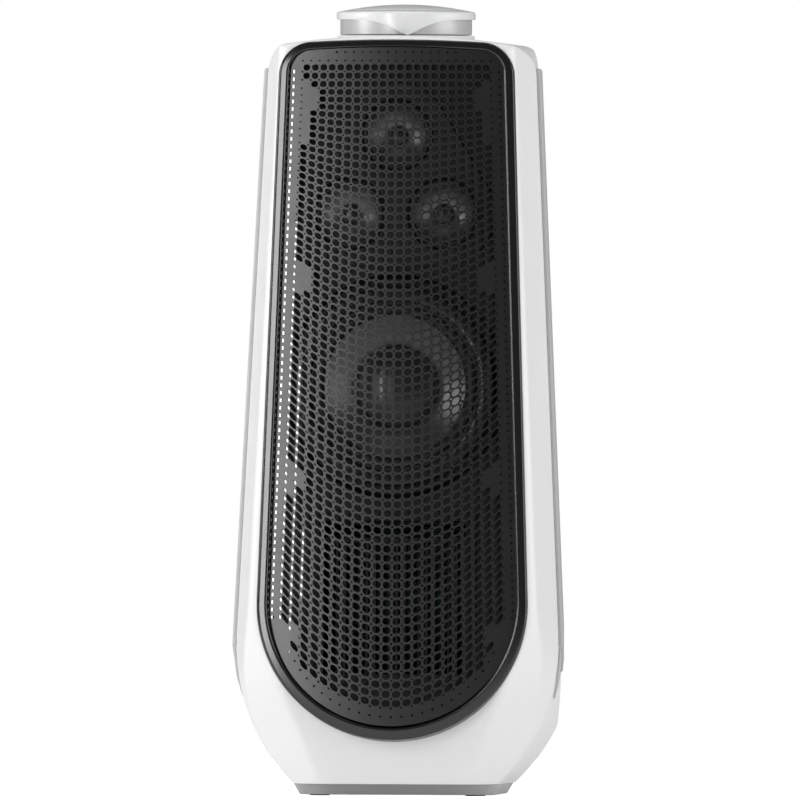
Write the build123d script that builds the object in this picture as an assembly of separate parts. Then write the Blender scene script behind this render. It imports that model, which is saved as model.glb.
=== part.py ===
"""Active tower loudspeaker: tapered cabinet, leaning black front, three small drivers over a woofer.

Millimetres. +Z is up, the front faces -Y, and the origin is under the middle of the base.
Parts of the front are drawn on the leaning front plane, where u runs to the right, v runs up
the slope and w points out of the front; w = 0 is the front of the bezel.
"""
from build123d import *
import math
import os

# ---------------------------------------------------------------- cabinet
FRONT_Y = 134.0            # the bezel's lowest edge stands this far in front of the origin
FRONT_Z = 50.0             # height at which the bezel's front plane passes FRONT_Y
LEAN_DEG = 3.0             # the front and the back both lean inwards by this much
REAR_Y = 118.0             # back of the cabinet at height REAR_Z
REAR_Z = 60.0
WALL = 4.0                 # cabinet wall
SHELL_TOP = 662.0
SHELL_BOTTOM = 10.5
FLANK_HALF = 139.3         # half-width of the flanks at height FLANK_Z
FLANK_Z = 170.0
FLANK_TAPER = 0.0475       # how fast the flanks draw in with height
BELLY_Z = 140.0            # below this the flanks curve in to the foot
BELLY_R = 170.0
CROWN_R = 658.0            # crown of the top
SHOULDER_R = 27.0
SEAM_DEPTH = 72.0          # the two shells meet on a plane this far behind the front plane
LAND = 12.0                # half-depth of the flat land on each flank, under the side rail
FLARE_FRONT = 0.26         # how fast the flanks draw in from the land to the front
FLARE_REAR = 0.12
CORNER_R = 26.0            # upright rear corners
CHEEK_R = 8.0              # upright front corners
BACK_R = 9.0               # back edge of the top
CHIN_Z = 100.0             # below this the front draws back to the foot
CHIN_Y = 100.0             # the front at the foot
CHIN_HALF = 65.5           # half-width of the chin's front facet at the foot
CHIN_SPREAD = 0.405        # how fast that facet widens with height
CHIN_TURN = 0.8            # how far its side facets run back for each millimetre outwards
HEEL_Z = 75.0
HEEL_Y = 94.0
LIP = 4.0                  # the bezel stands this far proud of the shell
FIT = 0.3                  # plain gap between neighbouring pieces

# ---------------------------------------------------------------- bezel, grille and baffle
BEZEL_R = 118.0            # bottom arc of the bezel
BEZEL_LOW_Z = 49.0
BEZEL_TOP_Z = 658.5
BEZEL_TAPER = 0.0332
BEZEL_CROWN = 4.0          # rise of the bezel's top edge in the middle
BEZEL_CORNER_R = 27.0
BEZEL_SIDE = 11.0          # face width of the bezel at the side, the top and the bottom
BEZEL_HEAD = 8.0
BEZEL_FOOT = 13.5
BEZEL_BACK = -16.0         # back of the bezel's face, where the baffle starts
SKIRT_BACK = -40.0         # the bezel's thin skirt runs back to here
SKIRT = 2.0
GRILLE_EDGE = -7.0         # the grille's edge sits behind the bezel's front
GRILLE_RISE = 8.0          # and its middle bulges forward by this much
GRILLE_SHEET = 1.2
GUIDE_HALF = 0.7           # half-width of a light bar
GUIDE_THICK = 1.4
GUIDE_BARS = [             # share of the half-width, inset from the bezel's edge, low and high end
    (1.0, 12.9, 158.0, 632.0),
    (1.0, 20.4, 132.0, 498.0),
    (10 / 11, 20.4, 115.0, 373.0),
    (9 / 11, 20.4, 170.0, 231.0),
]
BAFFLE_BACK = -36.0
GASKET = 2.0
LEDGE = 8.0

# ---------------------------------------------------------------- drivers
WOOFER_Z = 357.5
WOOFER_TRIM_R = 87.0
WOOFER_TRIM_INNER_R = 74.5
WOOFER_DISH_R = 98.0
WOOFER_CONE_R = 61.7
WOOFER_CAP_R = 35.0
WOOFER_COIL_R = 19.4
MID_TOP_Z = 576.0
MID_LOW_Z = 507.6
MID_SIDE = 40.6            # the lower pair stand this far off the centre line
MID_RING_R = 29.3
MID_LOBE_R = 45.0          # the trim plate reaches this far round each small driver
MID_CONE_R = 25.0
MID_CAP_R = 8.5

# ---------------------------------------------------------------- port
PORT_HALF = 71.5
PORT_LOW_Z = 98.5
PORT_TOP_Z = 249.0
PORT_BAR_Z = 223.5         # bar between the open slot and the slats
SLAT_PITCH = 6.5
SLAT_THICK = 2.4

# ---------------------------------------------------------------- dial
DIAL_Y = -5.0
PAD_R = 60.0
PAD_TOP = 662.6
NECK_R = 57.5
NECK_TOP = 676.0
CAP_R = 60.7
CAP_RIM_TOP = 682.6
CAP_CROWN = 690.0
LIP_DROP = 13.6            # the pointed lip hangs this far below the cap's rim
POINTER_DEG = 6.0          # where the pointer rests, turned from dead front
SHAFT_R = 3.0
BUSH_R = 9.0               # hole in the top for the dial's bush

# ---------------------------------------------------------------- rails, foot and back
RAIL_HALF = 11.0
RAIL_PROUD = 3.5
RAIL_TOP_Z = 634.0
RAIL_LOW_Z = 120.0
RAIL_TOE_Z = 95.0
RAIL_CUT_DEG = 48.0        # the rails' lower ends are cut at a slant, higher at the front
FOOT_HALF = (84.5, 78.5)   # half-sizes of the foot at its underside
FOOT_SPREAD_DEG = 29.0
FOOT_LIFT = 1.0            # the rubber feet hold the foot off the floor
PANEL = (176.0, 300.0)
PANEL_LOW_Z = 128.0
PANEL_THICK = 3.0
SINK_DEPTH = 19.8

LEAN = math.radians(LEAN_DEG)
SLOPE = math.tan(LEAN)
COS = math.cos(LEAN)
SIN = math.sin(LEAN)
FRONT = Plane(origin=(0, -FRONT_Y, FRONT_Z), x_dir=(1, 0, 0), z_dir=(0, -COS, SIN))
REAR = Plane(origin=(0, REAR_Y, REAR_Z), x_dir=(-1, 0, 0), z_dir=(0, COS, SIN))


def up(z):
    """Distance up the front slope of a point at height z."""
    return (z - FRONT_Z) / COS


def up_seam(z):
    """Distance up the slope of a point at height z on the seam's plane."""
    return (z - FRONT_Z + SEAM_DEPTH * SIN) / COS


def up_rear(z):
    """Distance up the rear slope of a point at height z."""
    return (z - REAR_Z) / COS


def flank(z):
    """Half-width of the cabinet's flank at height z."""
    return FLANK_HALF - FLANK_TAPER * (z - FLANK_Z)


# ---------------------------------------------------------------- shapes that repeat
def disc(u, v, radius, low, high):
    return FRONT * Pos(u, v, (low + high) / 2) * Cylinder(radius, high - low)


def ring(u, v, outer, inner, low, high):
    return disc(u, v, outer, low, high) - disc(u, v, inner, low - 1, high + 1)


def turned(u, v, *profile):
    """A solid turned about the driver's axis from points of radius and depth."""
    face = make_face(Polyline(*[(r, 0, w) for r, w in profile], close=True))
    return FRONT * Pos(u, v, 0) * revolve(face, Axis.Z)


def slab(face, low, high):
    """A flat outline on the front plane, made solid from depth low to depth high."""
    return extrude(FRONT * Pos(0, 0, low) * face, amount=high - low)


def rear_box(u, v, w, wide, tall, deep):
    """A box on the rear plane: its middle at u and v, and standing out from w."""
    return REAR * Pos(u, v, w + deep / 2) * Box(wide, tall, deep)


def rear_disc(u, v, w, radius, deep):
    return REAR * Pos(u, v, w + deep / 2) * Cylinder(radius, deep)


def tongue(side, head, foot):
    """The bezel's outline drawn in by the given widths: straight leaning sides, a round bottom
    and a slightly crowned top."""
    lean = math.atan(BEZEL_TAPER)
    radius = BEZEL_R - side
    low = up(BEZEL_LOW_Z) + foot
    top = up(BEZEL_TOP_Z) - head
    centre = low + radius
    tangent = (radius * math.cos(lean), centre + radius * math.sin(lean))
    corner_v = top - BEZEL_CROWN
    corner_u = tangent[0] - (corner_v - tangent[1]) * math.tan(lean)
    edges = [
        Line((corner_u, corner_v), tangent),
        ThreePointArc(tangent, (0, low), (-tangent[0], tangent[1])),
        Line((-tangent[0], tangent[1]), (-corner_u, corner_v)),
        ThreePointArc((-corner_u, corner_v), (0, top), (corner_u, corner_v)),
    ]
    face = make_face(edges)
    corners = face.vertices().sort_by(Axis.Y)[-2:]
    return fillet(corners, max(BEZEL_CORNER_R - side, 6))


# ---------------------------------------------------------------- cabinet
def front_outline():
    """The cabinet seen from the front."""
    lean = math.atan(FLANK_TAPER)
    belly = (flank(BELLY_Z), BELLY_Z)
    centre = (belly[0] - BELLY_R * math.cos(lean), belly[1] - BELLY_R * math.sin(lean))
    toe_x = centre[0] + math.sqrt(BELLY_R ** 2 - (SHELL_BOTTOM - centre[1]) ** 2)
    middle = math.radians(-25)
    mid_x = centre[0] + BELLY_R * math.cos(middle)
    mid_z = centre[1] + BELLY_R * math.sin(middle)
    eave_x = flank(SHELL_TOP - 10)
    eave_z = SHELL_TOP - eave_x ** 2 / (2 * CROWN_R)
    edges = [
        Line((-toe_x, SHELL_BOTTOM), (toe_x, SHELL_BOTTOM)),
        ThreePointArc((toe_x, SHELL_BOTTOM), (mid_x, mid_z), belly),
        Line(belly, (eave_x, eave_z)),
        ThreePointArc((eave_x, eave_z), (0, SHELL_TOP), (-eave_x, eave_z)),
        Line((-eave_x, eave_z), (-belly[0], belly[1])),
        ThreePointArc((-belly[0], belly[1]), (-mid_x, mid_z), (-toe_x, SHELL_BOTTOM)),
    ]
    face = make_face(edges)
    return fillet(face.vertices().sort_by(Axis.Y)[-2:], SHOULDER_R)


def side_outline():
    """The cabinet seen from its right, y across and z up, taller than the cabinet itself."""
    high = SHELL_TOP + 20
    low = SHELL_BOTTOM - 20
    face_y = -FRONT_Y + LIP / COS

    def front_y(z):
        return face_y + (z - FRONT_Z) * SLOPE

    def rear_y(z):
        return REAR_Y - (z - REAR_Z) * SLOPE

    chin = (front_y(CHIN_Z) + CHIN_Y) / (CHIN_Z - SHELL_BOTTOM)
    heel = (rear_y(HEEL_Z) - HEEL_Y) / (HEEL_Z - SHELL_BOTTOM)
    points = [
        (front_y(high), high),
        (front_y(CHIN_Z), CHIN_Z),
        (-CHIN_Y - 20 * chin, low),
        (HEEL_Y - 20 * heel, low),
        (rear_y(HEEL_Z), HEEL_Z),
        (rear_y(high), high),
    ]
    return make_face(Polyline(*points, close=True))


def half_space(start, along, across, side, inset):
    """Everything beyond the plane through start that holds both directions."""
    normal = along.cross(across).normalized()
    if normal.X * side < 0:
        normal = normal * -1
    return Plane(origin=start - normal * inset, x_dir=along, z_dir=normal) * Pos(0, 0, 100) * Box(2000, 900, 200)


def flare_cut(side, end, inset):
    """What is cut off one quarter of the flanks, from the land to the front or the back."""
    flare = FLARE_FRONT if end < 0 else FLARE_REAR
    seam_y = -FRONT_Y + SEAM_DEPTH / COS + (FLANK_Z - FRONT_Z) * SLOPE
    start = Vector(side * flank(FLANK_Z), seam_y + end * LAND, FLANK_Z)
    return half_space(start, Vector(-side * FLANK_TAPER, SLOPE, 1), Vector(-side * flare, end, 0), side, inset)


def belly_cut(side, inset):
    """What is cut off one lower front corner, so that the belly draws in as the flank above it does."""
    lean = math.atan(FLANK_TAPER)
    centre_x = flank(BELLY_Z) - BELLY_R * math.cos(lean)
    centre_z = BELLY_Z - BELLY_R * math.sin(lean)
    seam_y = -FRONT_Y + SEAM_DEPTH / COS + (BELLY_Z - FRONT_Z) * SLOPE
    start, middle, stop = [
        (side * (centre_x + (BELLY_R - inset) * math.cos(turn)), centre_z + (BELLY_R - inset) * math.sin(turn))
        for turn in (lean, math.radians(-25), math.radians(-54))
    ]
    edges = [
        ThreePointArc(start, middle, stop),
        Line(stop, (side * 220, stop[1])),
        Line((side * 220, stop[1]), (side * 220, start[1])),
        Line((side * 220, start[1]), start),
    ]
    face = Pos(0, seam_y - LAND, 0) * Plane.XZ * make_face(edges)
    return extrude(face, amount=200, dir=Vector(-side * FLARE_FRONT, -1, 0))


def chin_cut(side, inset):
    """What is cut off one side of the chin, beside its front facet."""
    face_y = -FRONT_Y + LIP / COS + (CHIN_Z - FRONT_Z) * SLOPE
    fall = (face_y + CHIN_Y) / (CHIN_Z - SHELL_BOTTOM)
    start = Vector(side * CHIN_HALF, -CHIN_Y, SHELL_BOTTOM)
    return half_space(start, Vector(side * CHIN_SPREAD, fall, 1), Vector(side, CHIN_TURN, 0), side, inset)


def cabinet(inset):
    """The cabinet's outer form, drawn in on every side by inset."""
    outline = front_outline()
    profile = side_outline()
    if inset:
        outline = offset(outline, -inset, kind=Kind.INTERSECTION)
        profile = offset(profile, -inset, kind=Kind.INTERSECTION)
    body = extrude(Plane.XZ * outline, amount=200, both=True)
    body = body & extrude(Plane.YZ * profile, amount=200, both=True)
    for side in (-1, 1):
        body = body - chin_cut(side, inset) - belly_cut(side, inset)
        for end in (-1, 1):
            body = body - flare_cut(side, end, inset)
    return round_corners(body, inset)


def round_corners(body, inset):
    """Round the cabinet's upright corners and the back edge of its top."""
    rear = body.edges().filter_by(lambda e: e.center().Y > 60 and e.length > 300)
    body = fillet(rear, CORNER_R - inset)
    front = body.edges().filter_by(lambda e: e.center().Y < -100 and e.length > 300)
    body = fillet(front, CHEEK_R - inset)
    back = body.edges().filter_by(lambda e: e.center().Z > 640 and e.center().Y > 70 and e.length > 60)
    return fillet(back, BACK_R - inset)


def before_seam():
    return FRONT * Pos(0, 300, 250 - SEAM_DEPTH) * Box(1000, 1400, 500)


def make_shells():
    outer = cabinet(0)
    skin = outer - cabinet(WALL)
    pad = Pos(0, DIAL_Y, (SHELL_TOP - WALL + PAD_TOP) / 2) * Cylinder(PAD_R, PAD_TOP - SHELL_TOP + WALL)
    pad_root = Pos(0, DIAL_Y, SHELL_TOP - 6) * Cylinder(PAD_R, 12)
    bush_hole = Pos(0, DIAL_Y, SHELL_TOP) * Cylinder(BUSH_R, 60)
    sleeve = slab(tongue(-3, -3, -3), SKIRT_BACK - WALL, 5) - slab(tongue(LEDGE, LEDGE, LEDGE), SKIRT_BACK - 9, 6)
    opening = slab(tongue(-FIT, -FIT, -FIT), SKIRT_BACK, 20)
    front = (skin & before_seam()) + (sleeve & cabinet(0)) - opening
    top_pad = pad + pad_root
    front = front + (top_pad & before_seam()) - opening
    rear = skin - before_seam()
    rear = rear + (top_pad - before_seam()) - bush_hole
    window = rear_box(0, up_rear(PANEL_LOW_Z) + PANEL[1] / 2, -30, PANEL[0] - 16, PANEL[1] - 16, 60)
    return front, rear - window


def make_rail(side):
    """A strip over the seam of the two shells; its lower end steps in to a thinner toe."""
    def strip(low, high, proud, half):
        face = make_face(Polyline(
            (side * (flank(low) + FIT), up_seam(low)),
            (side * (flank(low) + proud), up_seam(low)),
            (side * (flank(high) + proud), up_seam(high)),
            (side * (flank(high) + FIT), up_seam(high)),
            close=True))
        return slab(face, -SEAM_DEPTH - half, -SEAM_DEPTH + half)

    def below(z):
        end = FRONT * Pos(0, up_seam(z), -SEAM_DEPTH) * Rot(-RAIL_CUT_DEG, 0, 0)
        return end * Pos(0, -100, 0) * Box(400, 200, 200)

    rail = strip(RAIL_LOW_Z - 20, RAIL_TOP_Z, RAIL_PROUD, RAIL_HALF) - below(RAIL_LOW_Z)
    toe = strip(RAIL_TOE_Z - 20, RAIL_LOW_Z + 20, RAIL_PROUD - 1.4, RAIL_HALF - 2) - below(RAIL_TOE_Z)
    return rail + toe


def make_foot():
    plate = extrude(Pos(0, 0, FOOT_LIFT) * RectangleRounded(2 * FOOT_HALF[0], 2 * FOOT_HALF[1], 8),
                    amount=SHELL_BOTTOM - FOOT_LIFT, taper=-FOOT_SPREAD_DEG)
    for x, y in foot_places():
        plate = plate - Pos(x, y, FOOT_LIFT + 1) * Cylinder(9.0, 2 + FIT)
    return plate


def foot_places():
    return [(sx * 68, sy * 62) for sx in (-1, 1) for sy in (-1, 1)]


def make_rubber_feet():
    return Compound([Pos(x, y, 1.5) * Cylinder(8.7, 3.0) for x, y in foot_places()])


# ---------------------------------------------------------------- front
def make_bezel():
    face = slab(tongue(0, 0, 0), BEZEL_BACK, 0)
    rim = face.edges().filter_by(lambda e: FRONT.to_local_coords(e).center().Z > -0.01)
    face = fillet(rim, 4.0)
    face = face - slab(tongue(BEZEL_SIDE, BEZEL_HEAD, BEZEL_FOOT), BEZEL_BACK - 1, 5)
    skirt = slab(tongue(0, 0, 0), SKIRT_BACK + FIT, BEZEL_BACK)
    skirt = skirt - slab(tongue(SKIRT, SKIRT, SKIRT), SKIRT_BACK - 1, BEZEL_BACK + 1)
    return face + skirt


def make_grille():
    half = BEZEL_R - BEZEL_SIDE
    radius = (half ** 2 + GRILLE_RISE ** 2) / (2 * GRILLE_RISE)
    outline = tongue(BEZEL_SIDE + FIT, BEZEL_HEAD + FIT, BEZEL_FOOT + FIT)
    axis_w = GRILLE_EDGE + GRILLE_RISE - radius
    outer = FRONT * Pos(0, up(354), axis_w) * Rot(90, 0, 0) * Cylinder(radius, 800)
    inner = FRONT * Pos(0, up(354), axis_w) * Rot(90, 0, 0) * Cylinder(radius - GRILLE_SHEET, 800)
    return (slab(outline, BEZEL_BACK + 2, 10) & outer) - inner


def make_light_guide():
    """Slim white light bars, each behind one column of small holes at the grille's left side."""
    bars = []
    for share, inset, low, high in GUIDE_BARS:
        ends = []
        for z in (low, high):
            straight = BEZEL_R - BEZEL_TAPER * (z - BEZEL_LOW_Z - BEZEL_R)
            ends.append((-share * (straight - inset), up(z)))
        (low_u, low_v), (high_u, high_v) = ends
        face = make_face(Polyline(
            (low_u - GUIDE_HALF, low_v), (low_u + GUIDE_HALF, low_v),
            (high_u + GUIDE_HALF, high_v), (high_u - GUIDE_HALF, high_v), close=True))
        depth = GRILLE_EDGE - GRILLE_SHEET - 0.4 + GRILLE_RISE * (1 - share ** 2)
        bars.append(slab(face, depth - GUIDE_THICK, depth))
    return Compound(bars)


def mid_places():
    return {"top": (0, MID_TOP_Z), "left": (-MID_SIDE, MID_LOW_Z), "right": (MID_SIDE, MID_LOW_Z)}


def lobed_outline(radius):
    """The rounded triangle round the three small drivers."""
    corners = [(u, up(z)) for u, z in mid_places().values()]
    lobes = Sketch() + [Pos(u, v) * Circle(radius) for u, v in corners]
    return make_hull(lobes.edges())


def make_trim_plate():
    plate = slab(lobed_outline(MID_LOBE_R), BEZEL_BACK, BEZEL_BACK + 3)
    for u, z in mid_places().values():
        plate = plate - disc(u, up(z), MID_RING_R, BEZEL_BACK - 5, 0)
        plate = plate - turned(u, up(z), (0, -12.9), (MID_RING_R + 3, -12.9), (MID_RING_R, -16), (0, -16))
    return plate


def make_baffle():
    plate = slab(tongue(SKIRT + FIT, SKIRT + FIT, SKIRT + FIT), BAFFLE_BACK, BEZEL_BACK)
    woofer_v = up(WOOFER_Z)
    plate = plate - turned(0, woofer_v, (0, -15.9), (WOOFER_DISH_R, -15.9), (WOOFER_DISH_R - 4, -20), (0, -20))
    plate = plate - disc(0, woofer_v, 77, BAFFLE_BACK - 5, 0)
    for u, z in mid_places().values():
        plate = plate - disc(u, up(z), 31, BAFFLE_BACK - 5, 0)
        plate = plate - disc(u, up(z), 34.3, -20, 0)
    port_v = up((PORT_LOW_Z + PORT_TOP_Z) / 2)
    tall = (PORT_TOP_Z - PORT_LOW_Z) / COS
    return plate - FRONT * Pos(0, port_v, -25) * Box(2 * PORT_HALF - 12, tall - 12, 60)


def make_gasket():
    ring_face = slab(tongue(SKIRT + FIT, SKIRT + FIT, SKIRT + FIT), BAFFLE_BACK - GASKET, BAFFLE_BACK)
    return ring_face - slab(tongue(LEDGE, LEDGE, LEDGE), BAFFLE_BACK - GASKET - 1, BAFFLE_BACK + 1)


def make_louvre():
    """A flanged plate with one open slot over a row of narrow upright ones."""
    low = up(PORT_LOW_Z)
    top = up(PORT_TOP_Z)
    bar = up(PORT_BAR_Z)
    margin = 8.5
    middle = (low + top) / 2
    flange = slab(Pos(0, middle) * Rectangle(2 * PORT_HALF, top - low), -15.95, -13)
    neck = slab(Pos(0, middle) * Rectangle(2 * PORT_HALF - 12.6, top - low - 12.6), -26, -15.95)
    wide = 2 * (PORT_HALF - margin)
    slot_high = top - margin
    cuts = [Pos(0, (bar + 2 + slot_high) / 2) * Rectangle(wide, slot_high - bar - 2)]
    count = int(wide / SLAT_PITCH)
    gap_low = low + margin
    for index in range(count):
        u = (index - (count - 1) / 2) * SLAT_PITCH
        gap = Rectangle(SLAT_PITCH - SLAT_THICK, bar - 2 - gap_low)
        cuts.append(Pos(u, (gap_low + bar - 2) / 2) * gap)
    louvre = flange + neck
    for cut in cuts:
        louvre = louvre - slab(cut, -30, -5)
    return louvre


def make_port_duct():
    low = up(PORT_LOW_Z) + 8
    top = up(PORT_TOP_Z) - 8
    middle = (low + top) / 2
    wide = 2 * PORT_HALF - 14
    outer = FRONT * Pos(0, middle, -62) * Box(wide, top - low, 51.8)
    return outer - FRONT * Pos(0, middle, -62) * Box(wide - 6, top - low - 6, 60)


# ---------------------------------------------------------------- woofer
def make_woofer():
    v = up(WOOFER_Z)
    parts = {}
    parts["woofer_trim_ring"] = turned(
        0, v, (WOOFER_TRIM_INNER_R, -15), (WOOFER_TRIM_R, -15), (WOOFER_TRIM_R, -13.5),
        (WOOFER_TRIM_R - 2, -11.5), (WOOFER_TRIM_INNER_R + 3, -11.5), (WOOFER_TRIM_INNER_R, -13.5))
    basket = turned(
        0, v, (72, -15), (86, -15), (86, -20), (75, -20), (50, -64), (50, -80), (45, -80), (45, -86),
        (20.5, -86), (20.5, -80), (47, -80), (47, -63.2), (72, -19))
    for index in range(6):
        window = Rot(0, 0, 60 * index) * Pos(62, 0, -43) * Box(40, 24, 28)
        basket = basket - FRONT * Pos(0, v, 0) * window
    parts["woofer_basket"] = basket
    parts["woofer_magnet"] = ring(0, v, 50, 28, -102, -86)
    parts["woofer_yoke"] = disc(0, v, 45, -108, -102) + disc(0, v, 17.5, -102, -81)
    roll = ring(0, v, 71, 62.4, -16, -14.8)
    crest = FRONT * Pos(0, v, -14.8) * (Torus(66.7, 4.0) - Torus(66.7, 3.0))
    crest = crest - disc(0, v, 90, -30, -14.8)
    gap = ring(0, v, 66.7 + 2.9, 66.7 - 2.9, -17, -14.7)
    parts["woofer_surround"] = roll - gap + crest
    parts["woofer_spider"] = ring(0, v, 46.5, 20.4, -60, -58.8)
    parts["woofer_cone"] = turned(
        0, v, (WOOFER_CONE_R, -15), (WOOFER_CONE_R, -16.5), (20.8, -43.5), (19.7, -43.5), (19.7, -42.3))
    cap_height = 13.0
    cap_sphere = (WOOFER_CAP_R ** 2 + cap_height ** 2) / (2 * cap_height)
    dome = FRONT * Pos(0, v, -18.5 - cap_sphere) * (Sphere(cap_sphere) - Sphere(cap_sphere - 1))
    parts["woofer_dust_cap"] = dome - disc(0, v, 200, -200, -31.0)
    parts["woofer_coil"] = ring(0, v, WOOFER_COIL_R, WOOFER_COIL_R - 0.8, -78, -43)
    return parts


def make_mid(name, u, z):
    v = up(z)
    parts = {}
    parts["mid_basket_" + name] = turned(
        u, v, (29.6, -16.1), (34, -16.1), (34, -19.9), (28, -19.9), (28, -34), (6.5, -34),
        (6.5, -32), (26, -32), (26, -19.9), (29.6, -19.9))
    parts["mid_magnet_" + name] = disc(u, v, 22, -48, -34)
    parts["mid_surround_" + name] = turned(
        u, v, (25.3, -16), (25.3, -15), (27.2, -13.4), (29.2, -15), (29.2, -19.8), (28.2, -19.8),
        (28.2, -16), (27.2, -14.6))
    parts["mid_cone_" + name] = turned(
        u, v, (MID_CONE_R, -15), (MID_CONE_R, -16), (9, -28.4), (8, -28.4), (8, -27.6))
    cap_height = 4.0
    sphere = (MID_CAP_R ** 2 + cap_height ** 2) / (2 * cap_height)
    dome = FRONT * Pos(u, v, -22.6 - sphere) * (Sphere(sphere) - Sphere(sphere - 0.8))
    parts["mid_dome_" + name] = dome - disc(u, v, 60, -90, -26.2)
    return parts


# ---------------------------------------------------------------- dial
def lip_outline():
    """The cap's hanging lip seen from the front: a soft bell that ends in a point."""
    rim = CAP_RIM_TOP - 5.8
    tip = rim - LIP_DROP
    half = [(11, rim - 0.62 * LIP_DROP), (21, rim - 0.34 * LIP_DROP), (34, rim - 0.11 * LIP_DROP)]
    right = Spline((0, tip), *half, (56, rim), tangents=((0.9, 0.5), (1, 0.04)))
    left = mirror(right, Plane.YZ)
    return make_face([right, left, Polyline((56, rim), (56, rim + 3), (-56, rim + 3), (-56, rim))])


def make_dial():
    parts = {}
    centre = Pos(0, DIAL_Y, 0)
    turn = Rot(0, 0, POINTER_DEG)
    neck = Pos(0, 0, (PAD_TOP + 0.4 + NECK_TOP) / 2) * Cylinder(NECK_R, NECK_TOP - PAD_TOP - 0.4)
    neck = neck - Pos(0, 0, PAD_TOP + 4) * Cylinder(NECK_R - 4, 12)
    neck = neck - Pos(0, 0, NECK_TOP) * Cylinder(SHAFT_R, 40)
    parts["dial_neck"] = centre * neck
    rim_low = CAP_RIM_TOP - 5.6
    sphere = (CAP_R ** 2 + (CAP_CROWN - CAP_RIM_TOP) ** 2) / (2 * (CAP_CROWN - CAP_RIM_TOP))
    puck = Pos(0, 0, (NECK_TOP + CAP_CROWN) / 2) * Cylinder(CAP_R, CAP_CROWN - NECK_TOP)
    cap = puck & (Pos(0, 0, CAP_CROWN - sphere) * Sphere(sphere))
    skirt = extrude(Plane.XZ * lip_outline(), amount=80)
    skirt = skirt & (Pos(0, 0, 670) * (Cylinder(CAP_R, 40) - Cylinder(NECK_R + FIT, 40)))
    cap = cap + skirt
    cap = cap - Pos(0, 0, NECK_TOP) * Cylinder(SHAFT_R, 12)
    parts["dial_cap"] = centre * turn * cap
    parts["dial_shaft"] = centre * Pos(0, 0, 661) * Cylinder(SHAFT_R - 0.02, 40)
    bush = Pos(0, 0, 656) * Cylinder(BUSH_R - 0.1, 12) + Pos(0, 0, 648) * Cylinder(BUSH_R + 4, 4)
    parts["dial_bush"] = centre * (bush - Pos(0, 0, 650) * Cylinder(SHAFT_R + 0.05, 60))
    encoder = Pos(0, 0, 638) * Box(26, 26, 15.8) - Pos(0, 0, 642) * Cylinder(SHAFT_R + 0.05, 10)
    parts["dial_encoder"] = centre * encoder
    return parts


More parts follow.
